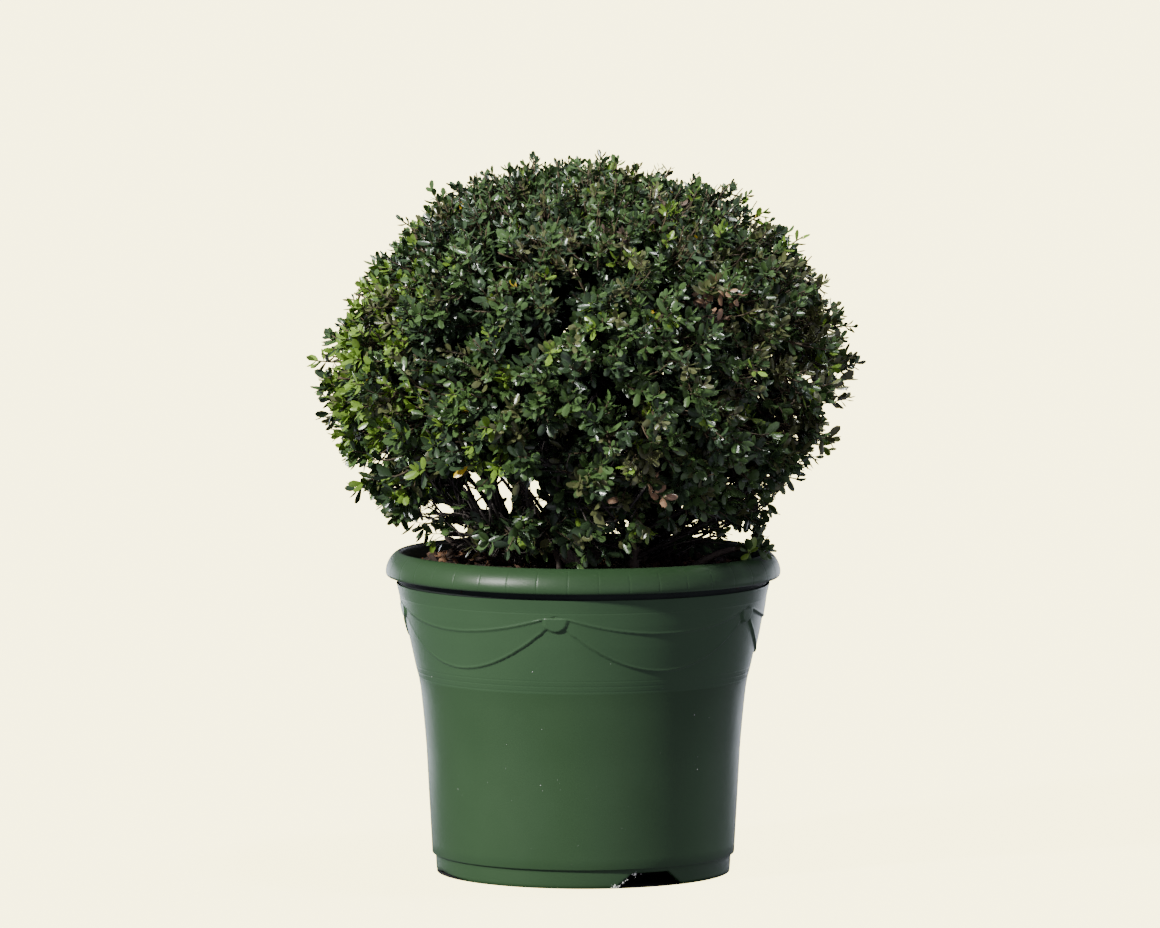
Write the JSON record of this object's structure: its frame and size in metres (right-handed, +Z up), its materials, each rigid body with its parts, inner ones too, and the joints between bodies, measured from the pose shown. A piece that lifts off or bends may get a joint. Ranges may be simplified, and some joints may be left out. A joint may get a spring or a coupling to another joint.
{
  "type": "potted japanese holly ball",
  "caption": "Evergreen shrub with small leaves clipped to a ball, on several stems, in a round green garden pot with a rolled rim and raised swags.",
  "frame": {"origin": "centre of the pot's underside, on the ground that the pot stands on", "axes": "+Z up, -Y towards the side that the picture shows, +X to its right"},
  "size_m": [0.6203, 0.6038, 0.8213],
  "materials": {
    "pot": "satin dark green plastic",
    "soil": "damp brown bark mix",
    "bark": "matt grey-brown bark",
    "foliage": "dark green leaves"
  },
  "bodies": {
    "root": {"bough_top": "bark", "bough_upper_back_left": "bark", "bough_upper_back_right": "bark", "bough_upper_front_left": "bark", "bough_upper_front_right": "bark", "cut_stub": "bark", "foliage_front_shoot": "foliage", "foliage_low_branch": "foliage", "foliage_lower_back_left": "foliage", "foliage_lower_back_right": "foliage", "foliage_lower_front": "foliage", "foliage_lower_front_right": "foliage", "foliage_lower_left": "foliage", "foliage_top": "foliage", "foliage_upper_back_left": "foliage", "foliage_upper_back_right": "foliage", "foliage_upper_front_left": "foliage", "foliage_upper_front_right": "foliage", "front_shoot": "bark", "low_branch": "bark", "pot": "pot", "soil": "soil", "stem_lower_back_left": "bark", "stem_lower_back_right": "bark", "stem_lower_front": "bark", "stem_lower_front_right": "bark", "stem_lower_left": "bark", "trunk": "bark"}
  },
  "joints": []
}
